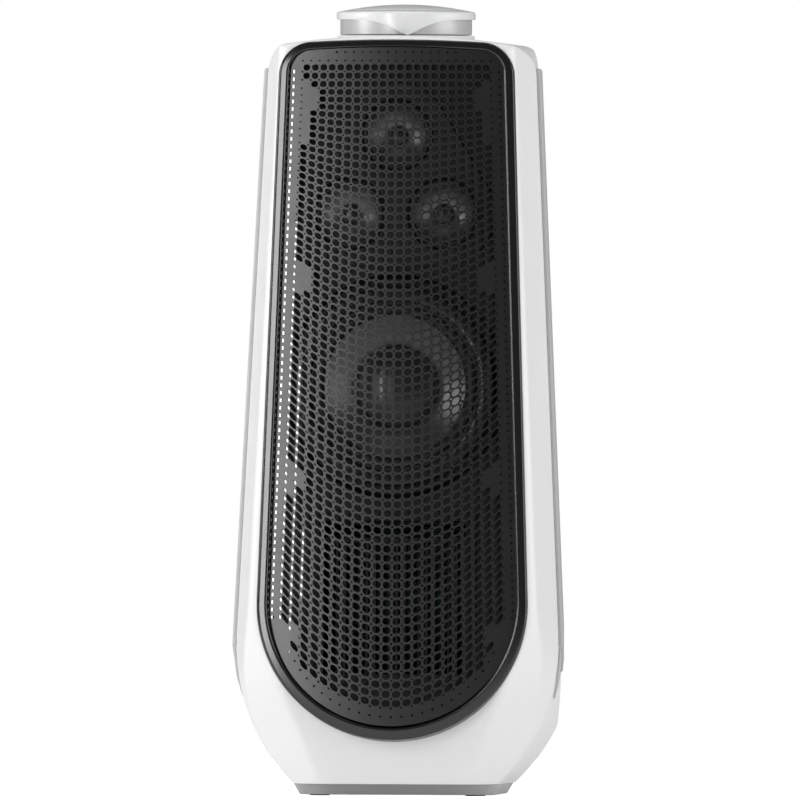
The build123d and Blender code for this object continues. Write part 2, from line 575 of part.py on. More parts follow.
# ---------------------------------------------------------------- back
def make_back():
    parts = {}
    low = up_rear(PANEL_LOW_Z)
    centre_v = low + PANEL[1] / 2
    panel = rear_box(0, centre_v, 0, PANEL[0], PANEL[1], PANEL_THICK)
    holes = {
        "knob": [(55, low + 262), (55, low + 222)],
        "button": [(-52, low + 262), (-52, low + 236)],
        "jack": [(-20, low + 262), (-20, low + 232), (12, low + 262), (12, low + 232)],
    }
    for u, v in holes["knob"]:
        panel = panel - rear_disc(u, v, -10, 3.3, 40)
    for u, v in holes["button"]:
        panel = panel - rear_disc(u, v, -10, 5.3, 40)
    for u, v in holes["jack"]:
        panel = panel - rear_disc(u, v, -10, 6.2, 40)
    rocker_at = (-52, low + 30)
    inlet_at = (10, low + 30)
    light_at = (-52, low + 212)
    panel = panel - rear_box(rocker_at[0], rocker_at[1], -10, 22, 30, 40)
    panel = panel - rear_box(inlet_at[0], inlet_at[1], -10, 30, 22, 40)
    panel = panel - rear_disc(light_at[0], light_at[1], -10, 2.1, 40)
    parts["rear_panel"] = panel
    base = rear_box(0, low + 125, PANEL_THICK, 120, 120, 4)
    fins = [rear_box((index - 7) * 8.4, low + 125, PANEL_THICK + 4, 2.6, 120, SINK_DEPTH - 4) for index in range(15)]
    parts["heat_sink"] = base + fins
    parts["status_light"] = rear_disc(light_at[0], light_at[1], -4, 2.0, PANEL_THICK + 5)
    jacks = []
    for u, v in holes["jack"]:
        body = rear_disc(u, v, -18, 6.0, PANEL_THICK + 20) + rear_disc(u, v, PANEL_THICK + 0.05, 7.6, 2.0)
        jacks.append(body - rear_disc(u, v, -12, 3.2, 40))
    parts["input_jacks"] = Compound(jacks)
    inlet = rear_box(inlet_at[0], inlet_at[1], -22, 29.6, 21.6, 22 + PANEL_THICK + 1)
    inlet = inlet + rear_box(inlet_at[0], inlet_at[1], PANEL_THICK + 0.05, 36, 28, 1.5)
    inlet = inlet - rear_box(inlet_at[0], inlet_at[1], -16, 24, 16.4, 40)
    for offset_u in (-6, 0, 6):
        drop = 2.5 if offset_u == 0 else -1.5
        inlet = inlet + rear_box(inlet_at[0] + offset_u, inlet_at[1] + drop, -16.5, 1.6, 3.6, 12)
    parts["inlet_socket"] = inlet
    frame = rear_box(rocker_at[0], rocker_at[1], -16, 21.6, 29.6, 16 + PANEL_THICK)
    frame = frame + rear_box(rocker_at[0], rocker_at[1], PANEL_THICK, 25, 33, 1.4)
    parts["rocker_frame"] = frame - rear_box(rocker_at[0], rocker_at[1], -12, 17, 25, 40)
    rocker = Box(16, 23.2, 5) + Pos(0, 0, -2) * Rot(0, 90, 0) * Cylinder(3.5, 16)
    rocker = REAR * Pos(rocker_at[0], rocker_at[1], 1.5) * rocker
    parts["power_rocker"] = rocker
    for index, (u, v) in enumerate(holes["knob"]):
        grip = rear_disc(u, v, PANEL_THICK + 0.6, 10.5, 12) - rear_box(u, v + 8, PANEL_THICK + 11.8, 1.4, 7, 4)
        parts[("gain_knob", "tone_knob")[index]] = grip + rear_disc(u, v, -9.9, 3.0, 13.5)
    for index, (u, v) in enumerate(holes["button"]):
        cap = rear_disc(u, v, -3, 5.0, PANEL_THICK + 5.2) + rear_disc(u, v, -5.2, 6.6, 2.2)
        parts[("pairing_button", "mode_button")[index]] = cap
    board = rear_box(0, low + 125, -12, 140, 130, 1.6)
    chips = [rear_box(u, low + 125 + dv, -26, 22, 22, 13.9) for u in (-40, 0, 40) for dv in (-35, 30)]
    parts["amplifier_board"] = board + chips
    supply = rear_box(0, low + 20, -66, 130, 70, 1.6) + rear_box(-30, low + 20, -64.5, 42, 46, 34)
    parts["power_supply"] = supply + rear_box(32, low + 20, -64.5, 26, 40, 28)
    screws = []
    for u in (-PANEL[0] / 2 + 4.5, PANEL[0] / 2 - 4.5):
        for step in range(4):
            v = low + 10 + step * (PANEL[1] - 20) / 3
            screws.append(rear_disc(u, v, PANEL_THICK + 0.02, 3.2, 1.6))
    parts["panel_screws"] = Compound(screws)
    return parts


def make_foam():
    return Pos(0, 40, 40) * Box(150, 100, 40)


def make_driver_screws():
    screws = []
    v = up(WOOFER_Z)
    for index in range(8):
        angle = math.radians(45 * index + 22.5)
        screws.append(disc(80.7 * math.cos(angle), v + 80.7 * math.sin(angle), 2.6, -11.4, -10.0))
    return Compound(screws)


def make_case_screws():
    screws = [Pos(x, y, FOOT_LIFT + 0.6) * Cylinder(3.0, 1.6) for x in (-40, 40) for y in (-62, 62)]
    return Compound(screws)


def build():
    parts = {}
    parts["front_shell"], parts["rear_shell"] = make_shells()
    parts["side_rail_left"] = make_rail(-1)
    parts["side_rail_right"] = make_rail(1)
    foot = make_foot()
    for x in (-40, 40):
        for y in (-62, 62):
            foot = foot - Pos(x, y, FOOT_LIFT + 0.5) * Cylinder(3.2, 2.4)
    parts["base_foot"] = foot
    parts["rubber_feet"] = make_rubber_feet()
    parts["bezel_ring"] = make_bezel()
    parts["grille"] = make_grille()
    parts["light_guide"] = make_light_guide()
    parts["baffle"] = make_baffle()
    parts["baffle_gasket"] = make_gasket()
    parts["driver_trim_plate"] = make_trim_plate()
    parts["port_louvre"] = make_louvre()
    parts["port_duct"] = make_port_duct()
    parts.update(make_woofer())
    for name, (u, z) in mid_places().items():
        parts.update(make_mid(name, u, z))
    parts.update(make_dial())
    parts.update(make_back())
    parts["damping_foam"] = make_foam()
    parts["driver_screws"] = make_driver_screws()
    parts["case_screws"] = make_case_screws()
    return parts


os.makedirs("parts", exist_ok=True)
for node, shape in build().items():
    export_step(shape, os.path.join("parts", node + ".step"))
    print(node, len(shape.solids()), round(shape.volume))
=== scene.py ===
# %% [markdown]
# # A white tower loudspeaker with a perforated black front
# This lesson dresses a finished CAD model. The CAD bodies hold the sizes and the joints, and
# Blender adds the surfaces that people see: a softly moulded cabinet, a rolled bezel, a
# perforated grille, pressed cones and a polished dial. First the imported model is loaded.

# %% Load the frame
import bpy
import bmesh
import math
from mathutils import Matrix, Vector, geometry


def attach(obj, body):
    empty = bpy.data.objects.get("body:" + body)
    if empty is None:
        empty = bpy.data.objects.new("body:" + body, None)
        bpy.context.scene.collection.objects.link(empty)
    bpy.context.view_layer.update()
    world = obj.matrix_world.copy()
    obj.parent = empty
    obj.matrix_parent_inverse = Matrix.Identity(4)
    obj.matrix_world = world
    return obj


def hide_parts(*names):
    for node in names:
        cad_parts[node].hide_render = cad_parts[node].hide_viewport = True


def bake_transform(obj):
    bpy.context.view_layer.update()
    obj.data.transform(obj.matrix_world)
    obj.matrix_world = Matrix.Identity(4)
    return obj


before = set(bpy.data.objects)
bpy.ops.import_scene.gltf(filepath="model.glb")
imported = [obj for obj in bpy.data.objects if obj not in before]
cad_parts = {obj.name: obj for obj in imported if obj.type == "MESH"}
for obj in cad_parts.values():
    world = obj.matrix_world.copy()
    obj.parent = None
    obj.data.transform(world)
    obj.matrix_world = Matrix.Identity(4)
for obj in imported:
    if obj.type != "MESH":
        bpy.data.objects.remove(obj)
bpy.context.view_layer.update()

# %% [markdown]
# ## The leaning front
# Everything on the front is drawn on a plane that leans back by three degrees. Here u runs to the
# right, v runs up the slope and w points out of the front. The plane touches the bezel's front, so
# w is 0 there. A small function turns u, v and w, in millimetres, into a place in metres.
# The back leans the other way by the same angle.

# %% The front plane
MM = 0.001
LEAN = math.radians(3.0)
COS, SIN = math.cos(LEAN), math.sin(LEAN)
SLOPE = math.tan(LEAN)
FRONT_Y, FRONT_Z = 134.0, 50.0
REAR_Y, REAR_Z = 118.0, 60.0


def on_front(u, v, w=0.0):
    return Vector((u, -FRONT_Y + v * SIN - w * COS, FRONT_Z + v * COS + w * SIN)) * MM


def up(z):
    return (z - FRONT_Z) / COS


SEAM_DEPTH = 72.0


def seam_y(z):
    """Where the two shells meet, on a plane parallel to the front."""
    return -FRONT_Y + SEAM_DEPTH / COS + (z - FRONT_Z) * SLOPE


print("the front is", round(up(662.0)), "mm long up its slope")

# %% [markdown]
# ## Making pieces
# Each piece is a mesh made from points and faces. The helper below joins doubled points, turns
# the faces outwards, shades them smoothly with crisp edges where two faces meet at a steep angle,
# and says which body the piece rides on and which CAD nodes it stands for.

# %% A piece from points and faces


def finish_piece(piece, body, material, stands_for=()):
    piece.data.materials.clear()
    piece.data.materials.append(material)
    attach(piece, body)
    if stands_for:
        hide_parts(*stands_for)
    return piece


def new_piece(name, points, faces, crisp=32.0, weld=1e-6):
    mesh = bpy.data.meshes.new(name)
    work = bmesh.new()
    made = [work.verts.new(p) for p in points]
    for face in faces:
        corners = [made[i] for i in face]
        if len(set(face)) == len(face):
            try:
                work.faces.new(corners)
            except ValueError:
                pass
    bmesh.ops.remove_doubles(work, verts=work.verts, dist=weld)
    bmesh.ops.dissolve_degenerate(work, edges=work.edges, dist=weld)
    bmesh.ops.recalc_face_normals(work, faces=work.faces)
    work.to_mesh(mesh)
    work.free()
    mesh.polygons.foreach_set("use_smooth", [True] * len(mesh.polygons))
    mesh.set_sharp_from_angle(angle=math.radians(crisp))
    piece = bpy.data.objects.new(name, mesh)
    bpy.context.scene.collection.objects.link(piece)
    return piece


def apply_modifier(piece, kind, **settings):
    modifier = piece.modifiers.new(kind.lower(), kind)
    for key, value in settings.items():
        setattr(modifier, key, value)
    bpy.context.view_layer.update()
    view = bpy.context.evaluated_depsgraph_get()
    mesh = bpy.data.meshes.new_from_object(piece.evaluated_get(view))
    piece.modifiers.clear()
    old = piece.data
    piece.data = mesh
    bpy.data.meshes.remove(old)
    return piece


def grid_faces(rows, columns, wrap_rows=False, wrap_columns=False):
    faces = []
    for r in range(rows if wrap_rows else rows - 1):
        for c in range(columns if wrap_columns else columns - 1):
            r2, c2 = (r + 1) % rows, (c + 1) % columns
            faces.append((r * columns + c, r * columns + c2, r2 * columns + c2, r2 * columns + c))
    return faces


def turned_piece(name, profile, place, steps=96, crisp=32.0):
    """A lathe: profile points are radius and height, and place gives each a spot in space."""
    points = []
    for radius, height in profile:
        for k in range(steps):
            angle = 2 * math.pi * k / steps
            points.append(place(radius * math.cos(angle), radius * math.sin(angle), height))
    closed = profile[0][0] > 0 or profile[-1][0] > 0
    faces = grid_faces(len(profile), steps, wrap_rows=closed, wrap_columns=True)
    return new_piece(name, points, faces, crisp)


def at_driver(u0, z0):
    v0 = up(z0)
    return lambda a, b, w: on_front(u0 + a, v0 + b, w)


print("a two by three grid has", len(grid_faces(2, 3)), "faces")

# %% [markdown]
# ## Moulded plastic and painted metal
# A plain colour looks like paint on a computer. Real mouldings have a very fine orange peel that
# breaks up reflections, and their shine drifts a little from place to place. One recipe makes
# both from noise: a slow noise moves the roughness and the shade, and a fine one gives the bump.

# %% The finish recipe


def finish_of(name, colour, rough=0.35, drift=0.08, grain=900.0, bump=0.05, depth=0.0002,
              shade=0.06, metal=0.0, coat=0.0, coat_rough=0.1, specular=0.5, glow=0.0):
    material = bpy.data.materials.new(name)
    material.use_nodes = True
    nodes, links = material.node_tree.nodes, material.node_tree.links
    shader = nodes["Principled BSDF"]
    shader.inputs["Metallic"].default_value = metal
    shader.inputs["Coat Weight"].default_value = coat
    shader.inputs["Coat Roughness"].default_value = coat_rough
    shader.inputs["Specular IOR Level"].default_value = specular
    where = nodes.new("ShaderNodeTexCoord")

    def noise(scale, detail):
        node = nodes.new("ShaderNodeTexNoise")
        node.inputs["Scale"].default_value = scale
        node.inputs["Detail"].default_value = detail
        links.new(where.outputs["Object"], node.inputs["Vector"])
        return node

    slow = noise(9.0, 3.0)
    tone = nodes.new("ShaderNodeMix")
    tone.data_type = "RGBA"
    tone.inputs["A"].default_value = (*[c * (1 - shade) for c in colour], 1)
    tone.inputs["B"].default_value = (*[min(1, c * (1 + shade)) for c in colour], 1)
    links.new(slow.outputs["Fac"], tone.inputs["Factor"])
    links.new(tone.outputs["Result"], shader.inputs["Base Color"])
    shine = nodes.new("ShaderNodeMapRange")
    shine.inputs["To Min"].default_value = max(0.02, rough - drift)
    shine.inputs["To Max"].default_value = rough + drift
    links.new(noise(35.0, 4.0).outputs["Fac"], shine.inputs["Value"])
    links.new(shine.outputs["Result"], shader.inputs["Roughness"])
    if bump:
        peel = nodes.new("ShaderNodeBump")
        peel.inputs["Strength"].default_value = bump
        peel.inputs["Distance"].default_value = depth
        links.new(noise(grain, 2.0).outputs["Fac"], peel.inputs["Height"])
        links.new(peel.outputs["Normal"], shader.inputs["Normal"])
    if glow:
        shader.inputs["Emission Color"].default_value = (1, 1, 1, 1)
        shader.inputs["Emission Strength"].default_value = glow
    return material


print("finishes made so far:", len(bpy.data.materials))

# %% [markdown]
# The finishes of this loudspeaker: white moulded shells, grey rails and foot, gloss black for the
# bezel, powder coat for the grille, satin black for what sits behind it, and a few metals.

# %% The finishes
white_shell = finish_of("white_shell", (0.82, 0.822, 0.825), rough=0.38, bump=0.05, shade=0.01)
rail_grey = finish_of("rail_grey", (0.50, 0.50, 0.505), rough=0.42, bump=0.1, shade=0.03)
foot_grey = finish_of("foot_grey", (0.44, 0.44, 0.445), rough=0.45, bump=0.1, shade=0.03)
black_gloss = finish_of("black_gloss", (0.003, 0.003, 0.0033), rough=0.2, drift=0.02, bump=0.02, specular=0.9)
black_satin = finish_of("black_satin", (0.006, 0.006, 0.0065), rough=0.5, grain=1600, bump=0.3,
                        shade=0.15, specular=0.3)
grille_coat = finish_of("grille_coat", (0.004, 0.004, 0.0043), rough=0.31, drift=0.03, grain=2600,
                        bump=0.05, shade=0.1, specular=0.85)
cone_grey = finish_of("cone_grey", (0.24, 0.24, 0.243), rough=0.33, drift=0.03, grain=1200,
                      bump=0.05, shade=0.1, metal=0.95)
cap_black = finish_of("cap_black", (0.015, 0.015, 0.0155), rough=0.3, drift=0.03, bump=0.04, specular=0.8)
trim_black = finish_of("trim_black", (0.008, 0.008, 0.0085), rough=0.3, bump=0.08)
rubber = finish_of("rubber", (0.012, 0.012, 0.012), rough=0.55, grain=1400, bump=0.3, shade=0.2)
foam = finish_of("foam", (0.05, 0.05, 0.052), rough=0.9, grain=500, bump=0.8, depth=0.001, shade=0.3)
wadding = finish_of("wadding", (0.28, 0.28, 0.3), rough=0.95, grain=300, bump=0.9, depth=0.002, shade=0.3)
cloth = finish_of("spider_cloth", (0.5, 0.36, 0.18), rough=0.8, grain=1800, bump=0.6, shade=0.2)
ferrite = finish_of("ferrite", (0.06, 0.06, 0.065), rough=0.6, grain=800, bump=0.4, shade=0.15)
steel = finish_of("steel", (0.55, 0.55, 0.56), rough=0.3, metal=1.0, bump=0.08, shade=0.04)
collar_metal = finish_of("collar_metal", (0.58, 0.58, 0.585), rough=0.36, drift=0.04,
                         metal=0.25, bump=0.03, shade=0.02)
anodised = finish_of("anodised", (0.03, 0.03, 0.032), rough=0.38, metal=0.8, grain=2200, bump=0.15, shade=0.1)
bare_aluminium = finish_of("bare_aluminium", (0.7, 0.7, 0.7), rough=0.35, metal=1.0, bump=0.1)
brass = finish_of("brass", (0.68, 0.48, 0.2), rough=0.3, metal=1.0, bump=0.05)
board_green = finish_of("board_green", (0.02, 0.12, 0.05), rough=0.4, bump=0.1, shade=0.15)
screw_black = finish_of("screw_black", (0.03, 0.03, 0.03), rough=0.35, metal=0.7, bump=0.1)
dial_white = finish_of("dial_white", (0.78, 0.785, 0.79), rough=0.28, bump=0.04, shade=0.01, coat=0.2)
# Its glow is painted light on the bars behind the grille, and a real lamp on the status light.
light_white = finish_of("light_white", (0.9, 0.9, 0.9), rough=0.4, bump=0.05, shade=0.01, glow=0.9)
print(len(bpy.data.materials), "finishes")

# %% [markdown]
# ## Outlines with round corners
# Both the cabinet's cross-section and the bezel are polygons with rounded corners. This sampler
# walks round such a polygon and always gives the same number of points, so outlines of different
# sizes can be joined point to point.

# %% A rounded polygon


def rounded(corners, arc_steps=7, edge_steps=6):
    """Points along an open chain of corners, each (x, y, radius); ends stay sharp."""
    chain = []
    for (x, y, radius), before, after in zip(corners[1:-1], corners, corners[2:]):
        here = Vector((x, y))
        back = Vector(before[:2]) - here
        ahead = Vector(after[:2]) - here
        turn = math.pi - back.angle(ahead, math.pi)
        reach = radius * math.tan(turn / 2)
        reach = min(reach, 0.48 * back.length, 0.48 * ahead.length)
        if turn < 1e-4 or reach < 1e-4:
            chain.append([here] * (arc_steps + 1))
            continue
        radius = reach / math.tan(turn / 2)
        start = here + back.normalized() * reach
        inner = (back.normalized() + ahead.normalized()).normalized()
        centre = here + inner * (radius / math.cos(turn / 2))
        spoke = start - centre
        sense = 1 if back.x * ahead.y - back.y * ahead.x < 0 else -1
        arc = []
        for k in range(arc_steps + 1):
            angle = sense * turn * k / arc_steps
            c, s = math.cos(angle), math.sin(angle)
            arc.append(centre + Vector((c * spoke.x - s * spoke.y, s * spoke.x + c * spoke.y)))
        chain.append(arc)
    ends = [[Vector(corners[0][:2])]] + chain + [[Vector(corners[-1][:2])]]
    points = list(ends[0])
    for last, arc in zip(ends, ends[1:]):
        for k in range(1, edge_steps):
            points.append(last[-1].lerp(arc[0], k / edge_steps))
        points.extend(arc)
    return points


print("one round corner takes", len(rounded([(0, 0, 0), (9, 0, 3), (9, 9, 0)])), "points")

# %% [markdown]
# ## The bezel's outline
# The bezel is shaped like a tongue: straight sides that lean in a little, a round bottom, and a
# top that is slightly crowned with round corners. The same outline, drawn in by a few
# millimetres, gives the bezel's inner edge, the grille and its rows of holes.

# %% The tongue outline
BEZEL_R, BEZEL_LOW, BEZEL_TOP = 118.0, 49.0, 658.5
BEZEL_TAPER, BEZEL_CROWN, BEZEL_CORNER = 0.0332, 4.0, 27.0
BEZEL_SIDE, BEZEL_HEAD, BEZEL_FOOT = 11.0, 8.0, 13.5


def tongue(side, head, foot, arc_steps=72, side_steps=60):
    lean = math.atan(BEZEL_TAPER)
    radius = BEZEL_R - side
    centre = up(BEZEL_LOW) + foot + radius
    top = up(BEZEL_TOP) - head - BEZEL_CROWN
    tangent = (radius * math.cos(lean), centre + radius * math.sin(lean))
    corner = tangent[0] - (top - tangent[1]) * math.tan(lean)
    turn = max(BEZEL_CORNER - side, 6.0)
    half = rounded([(*tangent, 0), (corner, top, turn), (0, top, 0)], 12, side_steps)
    half = [Vector((p.x, p.y + BEZEL_CROWN * (1 - (p.x / corner) ** 2)
                    * max(0.0, 1 - (top - p.y) / turn if p.y < top else 1.0))) for p in half]
    arc = []
    for k in range(1, arc_steps):
        angle = lean - (math.pi + 2 * lean) * (1 - k / arc_steps)
        arc.append(Vector((radius * math.cos(angle), centre + radius * math.sin(angle))))
    left = [Vector((-p.x, p.y)) for p in reversed(half[:-1])]
    return half + left + arc


def bezel_half(z):
    return BEZEL_R - BEZEL_TAPER * (z - BEZEL_LOW - BEZEL_R)


print("the bezel's outline has", len(tongue(0, 0, 0)), "points")

# %% [markdown]
# ## The cabinet
# The shells are injection mouldings with no flat side view: the flanks draw in towards the top
# and curl under at the bottom, the front leans back, and a soft chin is cut away above the foot.
# One way is to carve a block with booleans, but that leaves hard creases. Here the cabinet is a
# stack of rounded outlines instead, one for each height, so that every crease can be as soft as
# the moulding's.

# %% How wide and deep the cabinet is at each height
SHELL_TOP, SHELL_LOW, FLANK_TAPER = 662.0, 10.5, 0.0475
BELLY_Z, BELLY_R = 140.0, 170.0
CROWN_R, SHOULDER_R = 658.0, 27.0
LAND, FLARE_FRONT, FLARE_REAR = 12.0, 0.26, 0.12
CHIN_HALF, CHIN_SPREAD, CHIN_TURN = 65.5, 0.405, 0.8


def flank(z):
    return 139.3 - FLANK_TAPER * (z - 170.0)


def crown(x):
    return SHELL_TOP - x * x / (2 * CROWN_R)


def shoulder():
    x, z = 90.0, 630.0
    for _ in range(20):
        x = flank(z) - SHOULDER_R
        z = crown(x) - SHOULDER_R
    return x, z


def half_width(z):
    x0, z0 = shoulder()
    if z < BELLY_Z:
        lean = math.atan(FLANK_TAPER)
        cx = flank(BELLY_Z) - BELLY_R * math.cos(lean)
        cz = BELLY_Z - BELLY_R * math.sin(lean)
        return cx + math.sqrt(BELLY_R ** 2 - (z - cz) ** 2)
    if z <= z0:
        return flank(z)
    if z <= z0 + SHOULDER_R * 0.98:
        return x0 + math.sqrt(max(0.0, SHOULDER_R ** 2 - (z - z0) ** 2))
    return min(math.sqrt(2 * CROWN_R * max(0.0, SHELL_TOP - z)), x0 + SHOULDER_R * 0.2)


def soft_max(a, b, reach):
    blend = max(0.0, 1 - abs(a - b) / reach)
    return max(a, b) + blend * blend * reach / 4


def front_y(z):
    face = -FRONT_Y + 4.0 / COS + (z - FRONT_Z) * SLOPE
    chin = -100.0 - (z - SHELL_LOW) * 0.306
    return soft_max(face, chin, 5.0)


def rear_y(z):
    back = REAR_Y - (z - REAR_Z) * SLOPE
    heel = 94.0 + (z - SHELL_LOW) * 0.36
    return -soft_max(-back, -heel, 6.0)


print("half-widths:", [round(half_width(z), 1) for z in (12, 60, 115, 400, 640, 655, 661)])

# %% [markdown]
# Each outline starts at the seam on the right flank and goes round the front to the seam on the
# left, which runs parallel to the front. Low down, the front's corners widen into soft facets
# that taper the chin towards the foot. The top edge is rounded by drawing the outline back where
# it comes near the crown.

# %% One outline of the cabinet


def spread(z):
    """The half-width the draw-in is measured from: the belly's low down, the flank's above it."""
    return half_width(z) if z < BELLY_Z else flank(z)


def land_end(half, full, flare, room):
    """How far the flank stays flat beside the seam before it starts to draw in."""
    return min(LAND + max(0.0, full - half) / flare, room)


def front_ring(z):
    half, face, seam = half_width(z), front_y(z), seam_y(z)
    room = seam - face
    corner = min(half, spread(z) - FLARE_FRONT * (room - LAND))
    crease = CHIN_HALF + CHIN_SPREAD * (z - SHELL_LOW)
    inner = -soft_max(-(corner - 4.0), -crease, 8.0)
    facet = corner - inner
    for _ in range(8):
        side = min(half, spread(z) - FLARE_FRONT * (room - LAND - CHIN_TURN * facet))
        facet = side - inner
    if half < 40:
        inner, facet = half * 0.85, half * 0.15
    land = land_end(half, spread(z), FLARE_FRONT, room - CHIN_TURN * facet - 0.5)
    right = rounded([(half, seam, 0), (half, seam - land, 25), (inner + facet, face + CHIN_TURN * facet, 16),
                     (max(inner, 0.01), face, 16), (0, face, 0)])
    return edge_rounded(mirrored(right), z, seam, 5.0 / (seam - front_y(SHELL_TOP)))


def rear_ring(z):
    half, face, seam = half_width(z), rear_y(z), seam_y(z)
    room = face - seam
    corner = min(half, flank(z) - FLARE_REAR * (room - LAND))
    land = land_end(half, flank(z), FLARE_REAR, room - 1.0)
    right = rounded([(half, seam, 0), (half, seam + land, 30), (corner, face, 26), (0, face, 0)], 12)
    return edge_rounded(mirrored(right), z, seam, 9.0 / (rear_y(SHELL_TOP) - seam))


def mirrored(right):
    return right + [Vector((-p.x, p.y)) for p in reversed(right[:-1])]


def edge_rounded(ring, z, seam, reach):
    """Draw an outline back towards the seam where it comes close under the crown."""
    full = 5.0 if ring[len(ring) // 2].y < seam else 9.0
    points = []
    for p in ring:
        under = min(full, max(0.0, crown(p.x) - z))
        shift = 1 - math.sqrt(1 - (1 - under / full) ** 2)
        points.append(Vector((p.x, seam + (p.y - seam) * (1 - shift * reach), z)))
    return points


levels = [SHELL_LOW + 104.5 * k / 26 for k in range(27)]
levels += [115 + 515 * k / 40 for k in range(1, 41)]
levels += [630 + 32 * math.sin(math.pi / 2 * k / 30) for k in range(1, 31)]
print(len(levels), "outlines in the stack")

# %% [markdown]
# The stack becomes a skin, and a Solidify gives it the wall of a real moulding. The opening for
# the bezel is cut with a tool of the bezel's own outline. The two shells meet at the seam under
# the side rails.

# %% The front and rear shells


def shell(name, ring_at):
    points = []
    for z in levels:
        ring = ring_at(min(z, SHELL_TOP - 0.02))
        points += [p * MM for p in ring]
    count = len(ring)
    faces = grid_faces(len(levels), count)
    faces.append(tuple(range(count)))
    piece = new_piece(name, points, faces, crisp=50, weld=4e-6)
    inside = Vector((0, -30, 350)) * MM
    outwards = sum(f.area * f.normal.dot(f.center - inside) for f in piece.data.polygons)
    if outwards < 0:
        piece.data.flip_normals()
    return piece


def cutting_tool(outline, low, high):
    points = [on_front(p.x, p.y, w) for w in (low, high) for p in outline]
    count = len(outline)
    faces = grid_faces(2, count, wrap_columns=True)
    faces += [tuple(range(count)), tuple(range(count, 2 * count))]
    return new_piece("cutting_tool", points, faces)


front_shell = shell("shell_front", front_ring)
rear_shell = shell("shell_rear", rear_ring)
for half in (front_shell, rear_shell):
    apply_modifier(half, "SOLIDIFY", thickness=3.2 * MM, offset=-1.0, use_even_offset=False)
tool = cutting_tool(tongue(-0.3, -0.3, -0.3), -44.0, 20.0)
apply_modifier(front_shell, "BOOLEAN", operation="DIFFERENCE", object=tool, solver="MANIFOLD")
bpy.data.objects.remove(tool)
for half in (front_shell, rear_shell):
    half.data.polygons.foreach_set("use_smooth", [True] * len(half.data.polygons))
    half.data.set_sharp_from_angle(angle=math.radians(40))
finish_piece(front_shell, "cabinet", white_shell, ["front_shell"])
finish_piece(rear_shell, "cabinet", white_shell, ["rear_shell"])
print("front shell has", len(front_shell.data.polygons), "faces")

# %% [markdown]
# ## The bezel
# The bezel is a polished black frame with a rolled face. Its section is drawn once and carried
# round the tongue outline: a small outer radius, a broad face that rises gently to a ridge, a
# roll that drops into a narrow groove, and a thin skirt that runs back into the cabinet.

# %% The bezel ring
ROLL = [(0.0, -39.5), (0.0, -3.4), (0.02, -2.4), (0.05, -1.65), (0.09, -1.15), (0.14, -0.9), (0.26, -0.68),
        (0.38, -0.46), (0.50, -0.23), (0.60, -0.05), (0.67, 0.0), (0.73, -0.25), (0.79, -0.9), (0.84, -2.0),
        (0.88, -3.6), (0.92, -5.7), (0.955, -8.4), (1.0, -11.5), (1.0, -15.9), (0.18, -15.9), (0.18, -39.5)]
outer = tongue(0, 0, 0)
inner = tongue(BEZEL_SIDE, BEZEL_HEAD, BEZEL_FOOT)
ring_points = []
for across, depth in ROLL:
    for a, b in zip(outer, inner):
        p = a.lerp(b, across)
        ring_points.append(on_front(p.x, p.y, depth))
bezel = new_piece("bezel", ring_points, grid_faces(len(ROLL), len(outer), True, True), crisp=45)
finish_piece(bezel, "cabinet", black_gloss, ["bezel_ring"])
print("bezel:", len(bezel.data.polygons), "faces")

# %% [markdown]
# ## The grille's lattice
# The holes follow the shape of the front. Columns run parallel to the leaning sides, so they fan
# out towards the bottom. Rows are straight at the top and sag more and more, until they match
# the round bottom. Between four large holes sits one small hole. Near the edge there are only
# small holes, and eight plain pads are left where the grille is glued to its frame.

# %% Where the holes go
COLUMNS = 11
EDGE_COLUMN = 20.4
HEAD_TOP, HEAD_STEP = 647.4, 7.4
ROW_TOP, ROW_STEP, ROW_GROWTH = 651.95, 7.15, 0.0055
SAG, SAG_REACH, SAG_TOP = 0.01203, 201.0, 615.0
PAD_HEIGHTS = (609.0, 452.0, 275.0, 139.0)


def lattice(column, row):
    """The place on the front of a lattice point, in millimetres across and up."""
    z0 = ROW_TOP - ROW_STEP * row - ROW_GROWTH * row * row
    if row < 1.5:
        z0 = HEAD_TOP - HEAD_STEP * row
    sag = SAG * (1 - math.exp(-max(0.0, SAG_TOP - z0) / SAG_REACH))
    across = column / COLUMNS
    u = across * (bezel_half(z0) - EDGE_COLUMN)
    z = z0 + sag * u * u / 2
    u = across * (bezel_half(z) - EDGE_COLUMN)
    return u, up(z)


print("the lattice's first point is at", [round(x, 1) for x in lattice(0, 0)])

# %% [markdown]
# Not every point of the lattice gets a hole. A hole needs room beside the edge, and the eight glue
# pads stay plain. Two small tests answer that for any place on the front.

# %% Where a hole may sit
inner_edge = tongue(BEZEL_SIDE - 1.2, BEZEL_HEAD - 1.2, BEZEL_FOOT - 1.2)
edge_points = tongue(BEZEL_SIDE, BEZEL_HEAD, BEZEL_FOOT, 40, 30)


def inset_of(u, v):
    """How far inside the bezel's inner edge a point is; negative outside it."""
    best, inside = 1e9, False
    here = Vector((u, v))
    for a, b in zip(edge_points, edge_points[1:] + edge_points[:1]):
        span = b - a
        t = max(0.0, min(1.0, (here - a).dot(span) / span.length_squared))
        best = min(best, (here - a - span * t).length)
        if (a.y > v) != (b.y > v) and u < a.x + (v - a.y) * span.x / span.y:
            inside = not inside
    return best if inside else -best


def on_pad(u, v):
    inset = bezel_half(FRONT_Z + v * COS) - BEZEL_SIDE - abs(u)
    for z in PAD_HEIGHTS:
        down = up(z) - v
        if math.hypot(max(0.0, inset - 10.6), down) < 14.0 or (inset < 17.5 and 0 < down < 40 and z > 600):
            return True
    return False


print("the top middle of the sheet is", round(inset_of(0.0, up(640.0)), 1), "mm inside the edge")
